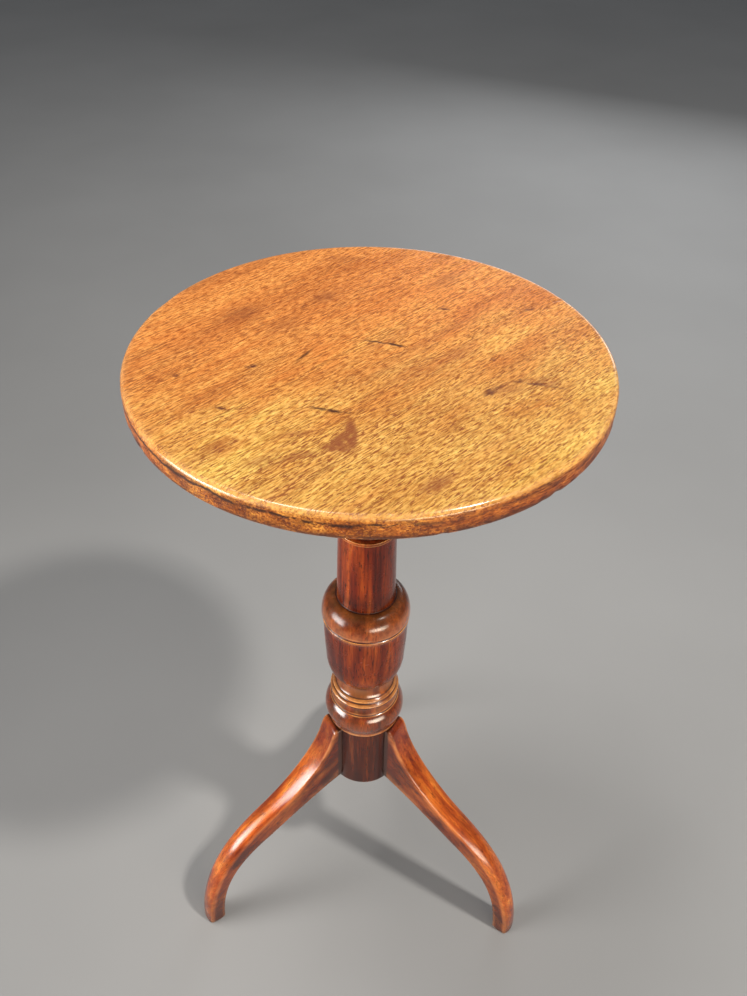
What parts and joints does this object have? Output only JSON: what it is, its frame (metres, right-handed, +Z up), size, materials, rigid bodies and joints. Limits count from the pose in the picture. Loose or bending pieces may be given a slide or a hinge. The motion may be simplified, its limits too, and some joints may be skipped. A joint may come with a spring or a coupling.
{
  "type": "tilt top table",
  "caption": "Small tripod table: a round top on a turned column with swept legs; the top tilts upright on pivot pins and is held flat by a sprung catch.",
  "frame": {"origin": "centre of the table's outline on the floor; the column's axis is 8.25 mm towards -Y from it", "axes": "+Z up; -Y is the front, between the two front legs; one leg points to +Y"},
  "size_m": [0.374, 0.3906, 0.7],
  "materials": {
    "top_wood": "waxed, open grained, golden brown",
    "column_wood": "polished dark red-brown",
    "leg_wood": "polished orange-brown",
    "under_wood": "dry, unpolished",
    "brass": "dull, aged",
    "iron": "dark, forged",
    "spring_steel": "drawn wire"
  },
  "bodies": {
    "base": {"column": "column_wood", "leg_front_left": "leg_wood", "leg_front_right": "leg_wood", "leg_back": "leg_wood", "base_plate": "iron", "base_plate_screw_1": "iron", "base_plate_screw_2": "iron", "base_plate_screw_3": "iron", "top_block": "column_wood", "tenon_wedge": "leg_wood", "pivot_pin_left": "iron", "pivot_pin_right": "iron", "strike_plate": "brass", "strike_screw_1": "brass", "strike_screw_2": "brass"},
    "top": {"table_top": "top_wood", "bearer_left": "under_wood", "bearer_right": "under_wood", "bearer_screw_left_1": "iron", "bearer_screw_left_2": "iron", "bearer_screw_left_3": "iron", "bearer_screw_right_1": "iron", "bearer_screw_right_2": "iron", "bearer_screw_right_3": "iron", "catch_case": "brass", "catch_screw_1": "brass", "catch_screw_2": "brass", "catch_screw_3": "brass", "catch_screw_4": "brass", "catch_spring": "spring_steel"},
    "bolt": {"catch_bolt": "brass", "catch_knob": "brass"}
  },
  "joints": [
    {"name": "top_tilt", "type": "hinge", "parent": "base", "child": "top", "pos_m": [-0.03897, 0.01425, 0.665], "axis": [-0.5, -0.866, 0], "range_deg": [0, 90]},
    {"name": "catch_slide", "type": "slide", "parent": "top", "child": "bolt", "axis": [-0.866, 0.5, 0], "range_m": [0, 0.008], "stiffness_N_per_m": 120, "springref_m": 0.012, "deforming": ["catch_spring"]}
  ]
}
